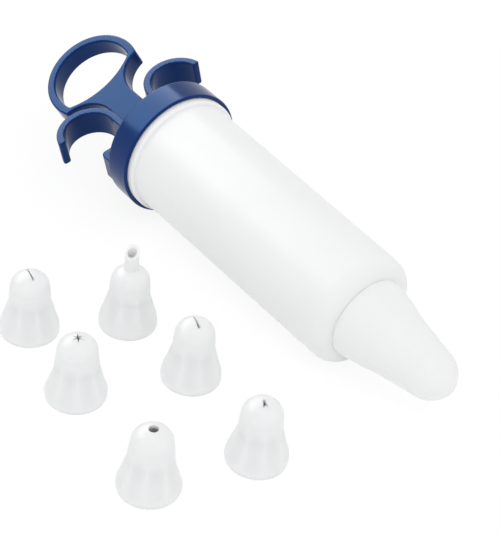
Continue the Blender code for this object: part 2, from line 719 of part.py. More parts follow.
def short_slit_cutter(name, frame):
    """Straight slit over the crown that widens a little towards its front end."""
    half = SLIT_WIDTH / 2
    ends = (-SLIT_REAR_REACH, SHORT_SLIT_REACH)
    outline = [(ends[0], half / 2), (ends[0], -half / 2), (ends[1], -half), (ends[1], half)]
    return outlet_prism(name + "_outlet", outline, frame)


def leaf_cutter(name, frame):
    """Narrow slit at the crown that opens to a swallow tail at its front end."""
    half = LEAF_SLIT_WIDTH / 2
    tail = LEAF_SLIT_FLARE / 2
    rear = -LEAF_SLIT_NOTCH
    reach = LEAF_SLIT_REACH
    inner = (reach - LEAF_SLIT_NOTCH, 0)
    outline = [(rear, half), (rear, -half), (reach, -tail), inner, (reach, tail)]
    return outlet_prism(name + "_outlet", outline, frame)


def round_cutter(name, frame):
    """Round outlet at the crown."""
    return bar_of_round(name + "_outlet", ROUND_OUTLET_RADIUS, TIP_HEIGHT + CUT_OVERRUN, frame)


def star_cutter(name, frame):
    """Star outlet at the crown."""
    outline = []
    for i in range(2 * STAR_POINTS):
        radius = STAR_INNER_RADIUS if i % 2 else STAR_OUTER_RADIUS
        angle = math.pi * i / STAR_POINTS
        outline.append((radius * math.cos(angle), radius * math.sin(angle)))
    return outlet_prism(name + "_outlet", outline, frame)


def tube_bore_cutter(name, frame):
    """Bore down the tube into the tip's hollow."""
    top = TIP_HEIGHT + TUBE_LENGTH + CUT_OVERRUN
    return bar_of_round(name + "_bore", TUBE_BORE_RADIUS, top, frame)


def tube_slant_cutter(name, frame):
    """Slanting cut that leaves the tube's end lower towards +X."""
    side = 4 * TUBE_RADIUS
    item = box(name + "_slant", (side, side, side), (0, 0, 0), 0, GUIDES, frame)
    normal = Vector((math.sin(TUBE_CUT_ANGLE), 0, math.cos(TUBE_CUT_ANGLE)))
    rear_edge = Vector((-TUBE_RADIUS, 0, TIP_HEIGHT + TUBE_LENGTH))
    item.location = rear_edge + normal * side / 2
    item.rotation_euler = (0, TUBE_CUT_ANGLE, 0)
    return item


def centre_on_ground():
    """Move the whole set so that its footprint is centred on the origin and stands on z = 0."""
    bpy.context.view_layer.update()
    corners = [
        item.matrix_world @ Vector(corner)
        for item in PARTS.objects if item.type == "MESH"
        for corner in ((v.co.x, v.co.y, v.co.z) for v in item.data.vertices)
    ]
    low = Vector([min(c[i] for c in corners) for i in range(3)])
    high = Vector([max(c[i] for c in corners) for i in range(3)])
    SET.location = (-(low.x + high.x) / 2, -(low.y + high.y) / 2, -low.z)
    bpy.context.view_layer.update()


clear_scene()
PARTS = collection("cake_decorating_syringe")
GUIDES = collection("cutters")
BLUE = material("blue_plastic", BLUE_PLASTIC, BLUE_ROUGHNESS)
WHITE = material("white_plastic", WHITE_PLASTIC, WHITE_ROUGHNESS)
RUBBER = material("seal_rubber", SEAL_RUBBER, RUBBER_ROUGHNESS)

SET = empty("set_on_ground")
TILT, AXIS_HEIGHT = resting_place()
SYRINGE = empty("syringe_axis", SET, (0, 0, AXIS_HEIGHT), (0, TILT, 0))
PISTON_AXIS = empty("piston_slide", SYRINGE)
PLUNGER_AXIS = empty("plunger_turn", PISTON_AXIS, (0, 0, 0), (PLUNGER_ROLL, 0, 0))
CAP_AXIS = empty("cap_turn", SYRINGE, (0, 0, 0), (CAP_ROLL, 0, 0))
COVER_AXIS = empty("cover_slide", SYRINGE)

make_barrel(SYRINGE)
make_cap(CAP_AXIS)
make_plunger(PLUNGER_AXIS)
make_piston(PISTON_AXIS)
make_cover(COVER_AXIS)
make_tip("tip_long_slit", LONG_SLIT_TIP_PLACE, [long_slit_cutter])
make_tip("tip_short_slit", SHORT_SLIT_TIP_PLACE, [short_slit_cutter])
make_tip("tip_leaf", LEAF_TIP_PLACE, [leaf_cutter])
make_tip("tip_star", STAR_TIP_PLACE, [star_cutter])
make_tip("tip_round", ROUND_TIP_PLACE, [round_cutter])
make_tip("tip_tube", TUBE_TIP_PLACE, [tube_bore_cutter, tube_slant_cutter], tube=True)
centre_on_ground()
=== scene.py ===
"""Looks of a cake decorating syringe and its six loose piping tips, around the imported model.

The syringe's own frame has +X along the barrel towards the nozzle, with x = 0 at the front edge
of the finger grip cap. A tip's own frame stands upright on its foot. Sizes are in millimetres,
and the matrix that puts a piece in its place also turns them to metres. Each new shape is a
surface of two parameters, worked out as whole arrays, and stands for the plain solid of the
same piece.
"""
import json
import math
import bmesh
import bpy
import numpy as np
from mathutils import Matrix, Vector
from mathutils.geometry import tessellate_polygon


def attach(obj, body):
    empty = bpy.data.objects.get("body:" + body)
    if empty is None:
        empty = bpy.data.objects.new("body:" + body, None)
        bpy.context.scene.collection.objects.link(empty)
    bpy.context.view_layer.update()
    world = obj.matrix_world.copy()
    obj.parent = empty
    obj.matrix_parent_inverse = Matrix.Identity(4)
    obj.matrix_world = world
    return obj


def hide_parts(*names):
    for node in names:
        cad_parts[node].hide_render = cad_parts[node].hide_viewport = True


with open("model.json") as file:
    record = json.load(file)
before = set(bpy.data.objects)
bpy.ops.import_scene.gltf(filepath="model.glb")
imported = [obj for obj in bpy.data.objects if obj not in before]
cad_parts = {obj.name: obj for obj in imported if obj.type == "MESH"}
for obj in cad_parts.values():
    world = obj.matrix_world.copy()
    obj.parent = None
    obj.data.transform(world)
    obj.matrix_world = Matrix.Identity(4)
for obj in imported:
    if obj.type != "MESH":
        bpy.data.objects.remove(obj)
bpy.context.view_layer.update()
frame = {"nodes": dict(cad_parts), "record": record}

MM = 0.001
TO_METRES = Matrix.Scale(MM, 4)
WELD = 0.001 * MM

# Where the syringe lies: its cap's joint gives a point of the axis and the nose-down tilt
TWIST = next(joint for joint in frame["record"]["behaviour"]["joints"]
             if joint["name"] == "cap_twist")
AXIS_POINT = Vector(TWIST["pos_m"])
AXIS_TILT = math.atan2(TWIST["axis"][2], -TWIST["axis"][0])
CAP_ROLL = 17
PLUNGER_ROLL = 34

# Where each tip stands: ahead of the cap's front edge, to the side, and its turn in degrees
TIP_PLACES = {
    "tip_long_slit": (33.5, -88.1, -12),
    "tip_tube": (48.4, -56.5, -57),
    "tip_star": (70.2, -92.6, -30),
    "tip_short_slit": (83.6, -54.5, -18),
    "tip_round": (117.9, -96.4, 0),
    "tip_leaf": (126.5, -59.8, -28),
}

FIT_GAP = 0.3
ROUND_STEPS = 224
BEND_STEPS = 5
SHARP_ANGLE = math.radians(38)


# Outlines


def rounded(corners, closed=True, steps=BEND_STEPS):
    """Path through corners (x, y, radius), each corner replaced by an arc.

    The arc touches both sides at radius / tan(half the corner's angle) from the corner. Its
    centre lies on the bisector of the sides, at radius / sin(half the angle).
    """
    corners = [np.array(corner, float) for corner in corners]
    count = len(corners)
    path = []
    for i, corner in enumerate(corners):
        point, radius = corner[:2], corner[2]
        if radius == 0 or (not closed and i in (0, count - 1)):
            path.append(point[None, :])
            continue
        back = corners[i - 1][:2] - point
        ahead = corners[(i + 1) % count][:2] - point
        back /= np.linalg.norm(back)
        ahead /= np.linalg.norm(ahead)
        half = math.acos(np.clip(back @ ahead, -1, 1)) / 2
        bisector = (back + ahead) / np.linalg.norm(back + ahead)
        centre = point + bisector * radius / math.sin(half)
        start = point + back * radius / math.tan(half) - centre
        end = point + ahead * radius / math.tan(half) - centre
        sweep = math.pi - 2 * half
        share = np.linspace(0, 1, steps + 1)[:, None]
        bend = start * np.sin((1 - share) * sweep) + end * np.sin(share * sweep)
        path.append(centre + bend / math.sin(sweep))
    return np.concatenate(path)


def arc(centre, radius, start, end, count):
    """Points at centre + radius (cos a, sin a), with a going from start to end in degrees."""
    angle = np.radians(np.linspace(start, end, count))
    return np.stack([centre[0] + radius * np.cos(angle), centre[1] + radius * np.sin(angle)], 1)


def smooth_curve(knots, count):
    """Cubic curve through (x, y) knots, with each knot's slope along its neighbours' chord."""
    knots = np.array(knots, float)
    reach = np.concatenate([[0], np.cumsum(np.linalg.norm(np.diff(knots, axis=0), axis=1))])
    slope = np.gradient(knots, reach, axis=0)
    at = np.linspace(0, reach[-1], count)
    low = np.clip(np.searchsorted(reach, at, side="right") - 1, 0, len(knots) - 2)
    span = (reach[low + 1] - reach[low])[:, None]
    t = (at - reach[low])[:, None] / span
    start = (2 * t**3 - 3 * t**2 + 1) * knots[low] + (t**3 - 2 * t**2 + t) * span * slope[low]
    end = (3 * t**2 - 2 * t**3) * knots[low + 1] + (t**3 - t**2) * span * slope[low + 1]
    return start + end


def superellipse(across, along, power, count):
    """Quarter of |x / across|^power + |y / along|^power = 1, from (0, along) to (across, 0)."""
    angle = np.linspace(np.pi / 2, 0, count)
    x = across * np.abs(np.cos(angle)) ** (2 / power)
    y = along * np.abs(np.sin(angle)) ** (2 / power)
    x[0] = 0
    return np.stack([x, y], 1)


def anticlockwise(outline):
    """The outline, run so that its enclosed area is positive."""
    outline = np.array(outline, float)
    ahead = np.roll(outline, -1, axis=0)
    area = np.sum(outline[:, 0] * ahead[:, 1] - outline[:, 1] * ahead[:, 0])
    return outline if area > 0 else outline[::-1]


def mirrored(outline):
    """The same outline on the other side of the axis, run the other way."""
    return outline[::-1] * np.array([1, -1])


# Meshes


def mesh_object(name, points, faces, place):
    """Mesh from arrays, moved to its place, welded, its faces turned outwards."""
    mesh = bpy.data.meshes.new(name)
    mesh.from_pydata(points.tolist(), [], faces)
    mesh.transform(place)
    grid = bmesh.new()
    grid.from_mesh(mesh)
    bmesh.ops.remove_doubles(grid, verts=grid.verts, dist=WELD)
    bmesh.ops.recalc_face_normals(grid, faces=grid.faces)
    grid.to_mesh(mesh)
    grid.free()
    piece = bpy.data.objects.new(name, mesh)
    bpy.context.scene.collection.objects.link(piece)
    return piece


def grid_faces(rows, columns, rows_closed):
    """Quads of a grid whose columns run round to their start, as its rows may."""
    row = np.arange(rows if rows_closed else rows - 1)
    r, c = np.meshgrid(row, np.arange(columns), indexing="ij")
    r_next, c_next = (r + 1) % rows, (c + 1) % columns
    corners = [r * columns + c, r * columns + c_next,
               r_next * columns + c_next, r_next * columns + c]
    return np.stack(corners, -1).reshape(-1, 4).tolist()


def turned(name, profile, place, closed=True, steps=ROUND_STEPS):
    """Profile of (along, radius) rows turned about X: (along, radius cos t, radius sin t)."""
    angle = np.linspace(0, 2 * np.pi, steps, endpoint=False)
    along = np.repeat(profile[:, :1], steps, axis=1)
    across = profile[:, 1:] * np.cos(angle)
    up = profile[:, 1:] * np.sin(angle)
    points = np.stack([along, across, up], -1).reshape(-1, 3)
    return mesh_object(name, points, grid_faces(len(profile), steps, closed), place)


def outward_normals(outline):
    """Unit mitre normals of a closed outline, to the right of the way that it runs."""
    ahead = np.roll(outline, -1, axis=0) - outline
    ahead /= np.linalg.norm(ahead, axis=1)[:, None]
    back = np.roll(ahead, 1, axis=0)
    normal = np.stack([ahead[:, 1] + back[:, 1], -ahead[:, 0] - back[:, 0]], 1)
    return normal / (1 + np.sum(ahead * back, axis=1))[:, None]


def plate(name, outlines, thickness, edge, place):
    """Flat plate: closed outlines swept through a rim with rounded edges, then filled.

    Each rim row is the outline moved inwards by edge (1 - cos a) at the height of the flat
    part plus edge sin a. The first outline runs anticlockwise and the holes clockwise.
    """
    angle = np.linspace(np.pi / 2, 0, BEND_STEPS + 1)
    inset = edge * (1 - np.cos(angle))
    height = thickness / 2 - edge + edge * np.sin(angle)
    inset = np.concatenate([inset, inset[::-1]])
    height = np.concatenate([height, -height[::-1]])
    points, faces, tops, bottoms = [], [], [], []
    start = 0
    for outline in outlines:
        normal = outward_normals(outline)
        rows = outline[None, :, :] - normal[None, :, :] * inset[:, None, None]
        level = np.repeat(height[:, None], len(outline), axis=1)
        points.append(np.concatenate([rows, level[:, :, None]], 2).reshape(-1, 3))
        quads = np.array(grid_faces(len(height), len(outline), False)) + start
        faces += quads.tolist()
        tops.append((start, rows[0]))
        bottoms.append((start + (len(height) - 1) * len(outline), rows[-1]))
        start += len(height) * len(outline)
    for loops in (tops, bottoms):
        index = np.concatenate([np.arange(len(loop)) + first for first, loop in loops])
        fill = tessellate_polygon([[Vector((x, y, 0)) for x, y in loop] for first, loop in loops])
        faces += [[int(index[i]) for i in triangle] for triangle in fill]
    return mesh_object(name, np.concatenate(points), faces, place)


def prism(name, outline, low, high, place):
    """Prism along Z over an outline, between two heights, with flat ends."""
    outline = anticlockwise(outline)
    count = len(outline)
    ends = [np.concatenate([outline, np.full((count, 1), level)], 1) for level in (low, high)]
    faces = grid_faces(2, count, False) + [list(range(count)), list(range(count, 2 * count))]
    return mesh_object(name, np.concatenate(ends), faces, place)


def combine(piece, other, operation):
    """Join or cut a piece with another mesh, which is used up."""
    step = piece.modifiers.new(operation.lower(), "BOOLEAN")
    step.operation = operation
    step.object = other
    step.solver = "EXACT"
    bpy.context.view_layer.update()
    seen = piece.evaluated_get(bpy.context.evaluated_depsgraph_get())
    mesh = bpy.data.meshes.new_from_object(seen)
    piece.modifiers.clear()
    piece.data = mesh
    bpy.data.objects.remove(other, do_unlink=True)


def finish_piece(piece, material, body, node):
    """Shade a piece, give it its material, and let it stand for its solid on its body."""
    grid = bmesh.new()
    grid.from_mesh(piece.data)
    bmesh.ops.remove_doubles(grid, verts=grid.verts, dist=WELD)
    bmesh.ops.dissolve_degenerate(grid, edges=grid.edges, dist=WELD)
    grid.to_mesh(piece.data)
    grid.free()
    piece.data.materials.clear()
    piece.data.materials.append(material)
    piece.data.shade_smooth()
    piece.data.set_sharp_from_angle(angle=SHARP_ANGLE)
    weigh = piece.modifiers.new("flat_faces_lead", "WEIGHTED_NORMAL")
    weigh.keep_sharp = True
    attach(piece, body)
    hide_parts(node)


def syringe_place(roll=0):
    """Matrix from the syringe's own frame to the ground's, with a roll about its axis."""
    tilt = Matrix.Rotation(AXIS_TILT, 4, "Y") @ Matrix.Rotation(math.radians(roll), 4, "X")
    return Matrix.Translation(AXIS_POINT) @ tilt @ TO_METRES


def tip_place(name):
    """Matrix from a tip's own frame, upright on its foot, to the ground's."""
    ahead, side, turn = TIP_PLACES[name]
    stand = Vector((AXIS_POINT.x + ahead * MM, AXIS_POINT.y + side * MM, 0))
    return Matrix.Translation(stand) @ Matrix.Rotation(math.radians(turn), 4, "Z") @ TO_METRES


# Materials

DRIFT_PATCH = 30
SCUFF_PATCH = 9
PLASTIC_IOR = 1.49


def linear(code):
    """Linear colour from an sRGB hex code."""
    values = [int(code[i:i + 2], 16) / 255 for i in (1, 3, 5)]
    return tuple(v / 12.92 if v <= 0.04045 else ((v + 0.055) / 1.055) ** 2.4
                 for v in values) + (1.0,)


def add_node(tree, kind, settings=None, inputs=None, links=None):
    """Add one node: its settings, its input values, and (input, source socket) links."""
    node = tree.nodes.new(kind)
    for key, value in (settings or {}).items():
        setattr(node, key, value)
    for key, value in (inputs or {}).items():
        node.inputs[key].default_value = value
    for key, source in (links or {}).items():
        tree.links.new(source, node.inputs[key])
    return node


def moulded(name, colour, shade, roughness, skin_grain, skin_depth, surface):
    """Injection-moulded plastic: slow colour drift, uneven gloss and a fine moulded skin.

    The colour drifts to its shade where the melt flowed and cooled unevenly. The gloss changes
    in smaller patches, by the spread that the roughness pair gives.
    """
    material = bpy.data.materials.new(name)
    material.use_nodes = True
    tree = material.node_tree
    shader = tree.nodes["Principled BSDF"]
    place = add_node(tree, "ShaderNodeTexCoord").outputs["Object"]
    drift = add_node(tree, "ShaderNodeTexNoise",
                     inputs={"Scale": 1 / (DRIFT_PATCH * MM), "Detail": 2.0, "Roughness": 0.5},
                     links={"Vector": place})
    tint = add_node(tree, "ShaderNodeMix", {"data_type": "RGBA"},
                    {6: linear(colour), 7: linear(shade)}, {0: drift.outputs["Fac"]})
    tree.links.new(tint.outputs[2], shader.inputs["Base Color"])
    scuff = add_node(tree, "ShaderNodeTexNoise",
                     inputs={"Scale": 1 / (SCUFF_PATCH * MM), "Detail": 4.0, "Roughness": 0.6},
                     links={"Vector": place})
    gloss = add_node(tree, "ShaderNodeMapRange",
                     inputs={"From Min": 0.3, "From Max": 0.7, "To Min": roughness[0],
                             "To Max": roughness[1]},
                     links={"Value": scuff.outputs["Fac"]})
    tree.links.new(gloss.outputs["Result"], shader.inputs["Roughness"])
    skin = add_node(tree, "ShaderNodeTexNoise",
                    inputs={"Scale": 1 / (skin_grain * MM), "Detail": 3.0, "Roughness": 0.55},
                    links={"Vector": place})
    relief = add_node(tree, "ShaderNodeBump",
                      inputs={"Strength": 1.0, "Distance": skin_depth * MM},
                      links={"Height": skin.outputs["Fac"]})
    tree.links.new(relief.outputs["Normal"], shader.inputs["Normal"])
    shader.inputs["IOR"].default_value = PLASTIC_IOR
    for key, value in surface.items():
        shader.inputs[key].default_value = value
    return material


def milky(weight, depth):
    """White plastic that lets light in to a depth, which softens shadows and fills hollows."""
    return {"Subsurface Weight": weight, "Subsurface Radius": (1.0, 0.95, 0.9),
            "Subsurface Scale": depth * MM, "Specular IOR Level": 0.25}


# Polypropylene, moulded: a satin white with a faint cool drift and a soft sheen
white_polypropylene = moulded(
    "white_moulded_polypropylene", "#F8F9F9", "#F3F5F4", (0.34, 0.44), 0.9, 0.004,
    milky(0.4, 1.2))
# The same polypropylene on the loose tips, whose thin walls let more light through
tip_polypropylene = moulded(
    "white_tip_polypropylene", "#F8F9F9", "#F3F4F4", (0.32, 0.42), 0.8, 0.004,
    milky(0.6, 1.8))
# Blue polypropylene, moulded in a polished tool: deep blue with a pale blue gloss on its faces
blue_polypropylene = moulded(
    "blue_moulded_polypropylene", "#18326D", "#152C61", (0.16, 0.23), 1.3, 0.005,
    {"Specular IOR Level": 0.25, "Specular Tint": (0.15, 0.50, 1.0, 1.0)})
# Silicone rubber of the piston's ring: matt, a little warmer than the plastic
silicone_rubber = moulded(
    "pale_silicone_rubber", "#DADBD7", "#CFD1CC", (0.52, 0.64), 0.5, 0.006,
    {"Subsurface Weight": 0.3, "Subsurface Scale": 1.2 * MM})


# Barrel

BARREL_LENGTH = 109.7
BARREL_REAR_RADIUS = 22.9
BARREL_FRONT_RADIUS = 21.7
BARREL_WALL = 1.6
BARREL_REAR_WALL = 2.0
BARREL_REAR = -8.6
BARREL_EDGE = 0.5
COLLAR_RADIUS = 24.45
COLLAR_FRONT = 2.7
COLLAR_EDGE = 0.7
COLLAR_FOOT = 0.25
SHOULDER_LENGTH = 6.1
SHOULDER_DEPTH = 6.0
SHOULDER_POWER = 2.3
SHOULDER_ROWS = 30
BORE_FLOOR_ROUND = 2.8
SEAT_SET_IN = 2.1
SEAT_HEIGHT = 2.6
SEAT_WALL = 1.6
SPIGOT_ROOM = 3.2
SPIGOT_DRAFT = 2.1
SPIGOT_LENGTH = 10.5
SPIGOT_WALL = 1.5
SPIGOT_EDGE = 0.4
SHOULDER_START = BARREL_LENGTH - SHOULDER_LENGTH
FRONT_FACE_RADIUS = BARREL_FRONT_RADIUS - SHOULDER_DEPTH
SEAT_RADIUS = FRONT_FACE_RADIUS - SEAT_SET_IN
SPIGOT_ROOT_RADIUS = SEAT_RADIUS - SEAT_WALL - SPIGOT_ROOM
SPIGOT_END_RADIUS = SPIGOT_ROOT_RADIUS - SPIGOT_DRAFT


def make_barrel():
    """Drafted tube with rear collar, rounded shoulder, seat ring and spigot, open inside."""
    shoulder = superellipse(SHOULDER_LENGTH, SHOULDER_DEPTH, SHOULDER_POWER, SHOULDER_ROWS)
    shoulder += np.array([SHOULDER_START, FRONT_FACE_RADIUS])
    seat_top = BARREL_LENGTH + SEAT_HEIGHT
    spigot_end = BARREL_LENGTH + SPIGOT_LENGTH
    floor = BARREL_LENGTH - BARREL_WALL
    tube = rounded([
        (SHOULDER_START, BARREL_REAR_RADIUS - BARREL_REAR_WALL, 0),
        (BARREL_REAR, BARREL_REAR_RADIUS - BARREL_REAR_WALL, BARREL_EDGE),
        (BARREL_REAR, COLLAR_RADIUS, BARREL_EDGE),
        (COLLAR_FRONT, COLLAR_RADIUS, COLLAR_EDGE),
        (COLLAR_FRONT, BARREL_REAR_RADIUS, COLLAR_FOOT),
        (SHOULDER_START, BARREL_FRONT_RADIUS, 0),
    ], closed=False)[1:-1]
    front = rounded([
        (BARREL_LENGTH, FRONT_FACE_RADIUS, 0),
        (BARREL_LENGTH, SEAT_RADIUS, SPIGOT_EDGE / 2),
        (seat_top, SEAT_RADIUS, SPIGOT_EDGE),
        (seat_top, SEAT_RADIUS - SEAT_WALL, SPIGOT_EDGE),
        (BARREL_LENGTH, SEAT_RADIUS - SEAT_WALL, SPIGOT_EDGE),
        (BARREL_LENGTH, SPIGOT_ROOT_RADIUS, SPIGOT_EDGE),
        (spigot_end, SPIGOT_END_RADIUS, SPIGOT_EDGE),
        (spigot_end, SPIGOT_END_RADIUS - SPIGOT_WALL, SPIGOT_EDGE),
        (floor, SPIGOT_ROOT_RADIUS - SPIGOT_WALL, SPIGOT_EDGE),
        (floor, BARREL_FRONT_RADIUS - BARREL_WALL, BORE_FLOOR_ROUND),
        (BARREL_REAR, BARREL_REAR_RADIUS - BARREL_REAR_WALL, 0),
    ], closed=False)[1:-1]
    profile = np.concatenate([tube, shoulder, front])
    return turned("barrel_tube", profile, syringe_place())


# Finger grip cap

CAP_LENGTH = 11.4
CAP_FLOOR = 2.5
CAP_RADIUS = 26.0
CAP_MOUTH_RADIUS = 24.6
CAP_HOLE_RADIUS = 7.6
CAP_FRONT_EDGE = 0.5
CAP_REAR_EDGE = 1.1
CAP_MOUTH_EDGE = 0.4
HOOK_CENTRE = (-30.2, 21.1)
HOOK_INNER_RADIUS = 10.25
HOOK_OUTER_RADIUS = 13.35
HOOK_DEPTH = 11.2
HOOK_EDGE = 0.6
HOOK_END_SHORT = 1.8
HOOK_END_CORNER = 1.0
HOOK_END_ROOM = HOOK_END_SHORT + 1.3 * HOOK_END_CORNER
HOOK_STEPS = 72
LUG_BACK = 5.7
LUG_SIDES = (19.6, 25.0)
LUG_CORNERS = (0.75, 2.1)
LUG_STEPS = 8
GRIP_ROOT = -CAP_LENGTH + CAP_FLOOR / 2


def hook_outline():
    """Straight leg off the cap, then three quarters of an open ring with a rounded end."""
    sides = []
    corners = []
    for radius in (HOOK_OUTER_RADIUS, HOOK_INNER_RADIUS):
        stop = 90 + math.degrees(HOOK_END_ROOM / radius)
        sides.append(arc(HOOK_CENTRE, radius, 270, stop, HOOK_STEPS))
        corner_y = HOOK_CENTRE[1] + math.sqrt(radius**2 - HOOK_END_SHORT**2)
        corners.append((HOOK_CENTRE[0] - HOOK_END_SHORT, corner_y, HOOK_END_CORNER))
    outside, inside = sides[0], sides[1][::-1]
    end_round = rounded([(*outside[-1], 0), *corners, (*inside[0], 0)], closed=False)[1:-1]
    leg = np.array([(GRIP_ROOT, HOOK_CENTRE[1] - HOOK_INNER_RADIUS),
                    (GRIP_ROOT, HOOK_CENTRE[1] - HOOK_OUTER_RADIUS)])
    return np.concatenate([outside, end_round, inside, leg])


def lug_outline():
    """Short lug that faces the hook's open end from the cap's rim."""
    back = -CAP_LENGTH - LUG_BACK
    return rounded([
        (GRIP_ROOT, LUG_SIDES[0], 0),
        (GRIP_ROOT, LUG_SIDES[1], 0),
        (back, LUG_SIDES[1], LUG_CORNERS[1]),
        (back, LUG_SIDES[0], LUG_CORNERS[0]),
    ], steps=LUG_STEPS)


def make_cap():
    """Round cap with a hole for the stem, joined with two hooks and two lugs."""
    place = syringe_place(CAP_ROLL)
    profile = rounded([
        (0, CAP_RADIUS, CAP_FRONT_EDGE),
        (0, CAP_MOUTH_RADIUS, CAP_MOUTH_EDGE),
        (-CAP_LENGTH + CAP_FLOOR, CAP_MOUTH_RADIUS, CAP_MOUTH_EDGE),
        (-CAP_LENGTH + CAP_FLOOR, CAP_HOLE_RADIUS, CAP_MOUTH_EDGE),
        (-CAP_LENGTH, CAP_HOLE_RADIUS, CAP_MOUTH_EDGE),
        (-CAP_LENGTH, CAP_RADIUS, CAP_REAR_EDGE),
    ])
    cap = turned("grip_cap_moulding", profile, place)
    for outline in (hook_outline(), lug_outline()):
        for shape in (outline, mirrored(outline)):
            grip = plate("grip", [anticlockwise(shape)], HOOK_DEPTH, HOOK_EDGE, place)
            combine(cap, grip, "UNION")
    return cap


# Plunger

RING_CENTRE = (-58.5, 0.0)
RING_OUTER_RADIUS = 20.2
RING_HOLE_RADIUS = 16.7
WEB_CENTRE = (-81.1, 0.0)
WEB_RADIUS = 31.5
NOTCH_RADIUS = 13.5
NOTCH_CENTRE_X = -38.3
STEM_HALF_WIDTH = 6.2
STEM_END = 6.0
PLATE_THICKNESS = 8.6
PLATE_EDGE = 0.8
RING_HORN_ROUND = 0.8
RING_HORN_TRIM = 1.0
HOLE_CORNER_ROUND = 0.9
HOLE_CORNER_TRIM = 1.3
RING_STEPS = 120
HOLE_STEPS = 96
NOTCH_STEPS = 48
WEB_STEPS = 40
ROD_END = 96.6
RIB_THICKNESS = 2.4
RIB_EDGE = 0.4
RIB_EDGE_STEPS = 2
ROD_DISC_RADIUS = 6.6
ROD_DISC_THICKNESS = 2.0
ROD_NECK_RADIUS = 2.8
ROD_NECK_LENGTH = 2.2
ROD_BUTTON_RADIUS = 4.2
ROD_BUTTON_END_RADIUS = 3.2
ROD_BUTTON_LENGTH = 2.6
BUTTON_STEPS = 96


def circles_meet(first, first_radius, second, second_radius):
    """Angle in degrees at the first centre from the line of centres to where circles meet."""
    apart = math.dist(first, second)
    along = (apart**2 + first_radius**2 - second_radius**2) / (2 * apart)
    return math.degrees(math.acos(along / first_radius))


def ring_outline():
    """Outside of the thumb ring, its two round notches and the stem, as one closed path."""
    notch = (NOTCH_CENTRE_X, STEM_HALF_WIDTH + NOTCH_RADIUS)
    aim = math.degrees(math.atan2(notch[1], notch[0] - RING_CENTRE[0]))
    horn = aim + circles_meet(RING_CENTRE, RING_OUTER_RADIUS, notch, NOTCH_RADIUS)
    meet = arc(RING_CENTRE, RING_OUTER_RADIUS, horn, horn, 1)[0]
    notch_end = math.degrees(math.atan2(meet[1] - notch[1], meet[0] - notch[0])) % 360
    notch_trim = math.degrees(RING_HORN_TRIM / NOTCH_RADIUS)
    trim = math.degrees(RING_HORN_TRIM / RING_OUTER_RADIUS)
    side = arc(notch, NOTCH_RADIUS, 270, notch_end + notch_trim, NOTCH_STEPS)
    back = arc(RING_CENTRE, RING_OUTER_RADIUS, horn + trim, 360 - horn - trim, RING_STEPS)
    bend = [(*side[-1], 0), (*meet, RING_HORN_ROUND), (*back[0], 0)]
    bend = rounded(bend, closed=False)[1:-1]
    half = np.concatenate([[(STEM_END, STEM_HALF_WIDTH)], side, bend])
    return np.concatenate([half, back, mirrored(half)])


def ring_hole():
    """Thumb hole: the inner round of the ring, cut off by the shallow arc of the web."""
    corner = 180 - circles_meet(RING_CENTRE, RING_HOLE_RADIUS, WEB_CENTRE, WEB_RADIUS)
    meet = arc(RING_CENTRE, RING_HOLE_RADIUS, -corner, -corner, 1)[0]
    web_corner = math.degrees(math.asin(-meet[1] / WEB_RADIUS))
    trim = math.degrees(HOLE_CORNER_TRIM / RING_HOLE_RADIUS)
    web_trim = math.degrees(HOLE_CORNER_TRIM / WEB_RADIUS)
    hole = arc(RING_CENTRE, RING_HOLE_RADIUS, corner + trim, 360 - corner - trim, HOLE_STEPS)
    web = arc(WEB_CENTRE, WEB_RADIUS, web_trim - web_corner, web_corner - web_trim, WEB_STEPS)
    bend = [(*hole[-1], 0), (*meet, HOLE_CORNER_ROUND), (*web[0], 0)]
    bend = rounded(bend, closed=False)[1:-1]
    return np.concatenate([hole, bend, web, mirrored(bend)])


def rib_section(width, height):
    """Rounded rectangle of one of the rod's crossed ribs."""
    x, y = width / 2, height / 2
    corners = [(-x, -y, RIB_EDGE), (x, -y, RIB_EDGE), (x, y, RIB_EDGE), (-x, y, RIB_EDGE)]
    return rounded(corners, steps=RIB_EDGE_STEPS)


def make_plunger():
    """Thumb ring plate, cross-ribbed rod, end disc and the button that snaps in the piston."""
    place = syringe_place(PLUNGER_ROLL)
    outlines = [anticlockwise(ring_outline()), anticlockwise(ring_hole())[::-1]]
    plunger = plate("plunger_moulding", outlines, PLATE_THICKNESS, PLATE_EDGE, place)
    along_rod = place @ Matrix.Rotation(math.radians(90), 4, "Y")
    width = 2 * STEM_HALF_WIDTH
    rib_end = ROD_END - ROD_DISC_THICKNESS / 2
    for section in (rib_section(width, RIB_THICKNESS), rib_section(RIB_THICKNESS, width)):
        combine(plunger, prism("rib", section, -CAP_LENGTH, rib_end, along_rod), "UNION")
    disc_back = ROD_END - ROD_DISC_THICKNESS
    neck_end = ROD_END + ROD_NECK_LENGTH
    button_end = neck_end + ROD_BUTTON_LENGTH
    button = rounded([
        (disc_back, 0, 0),
        (disc_back, ROD_DISC_RADIUS, RIB_EDGE),
        (ROD_END, ROD_DISC_RADIUS, RIB_EDGE),
        (ROD_END, ROD_NECK_RADIUS, RIB_EDGE),
        (neck_end, ROD_NECK_RADIUS, RIB_EDGE / 2),
        (neck_end, ROD_BUTTON_RADIUS, RIB_EDGE),
        (button_end, ROD_BUTTON_END_RADIUS, RIB_EDGE),
        (button_end, 0, 0),
    ], closed=False)
    button = turned("button", button, place, closed=False, steps=BUTTON_STEPS)
    combine(plunger, button, "UNION")
    return plunger


# Nozzle cover

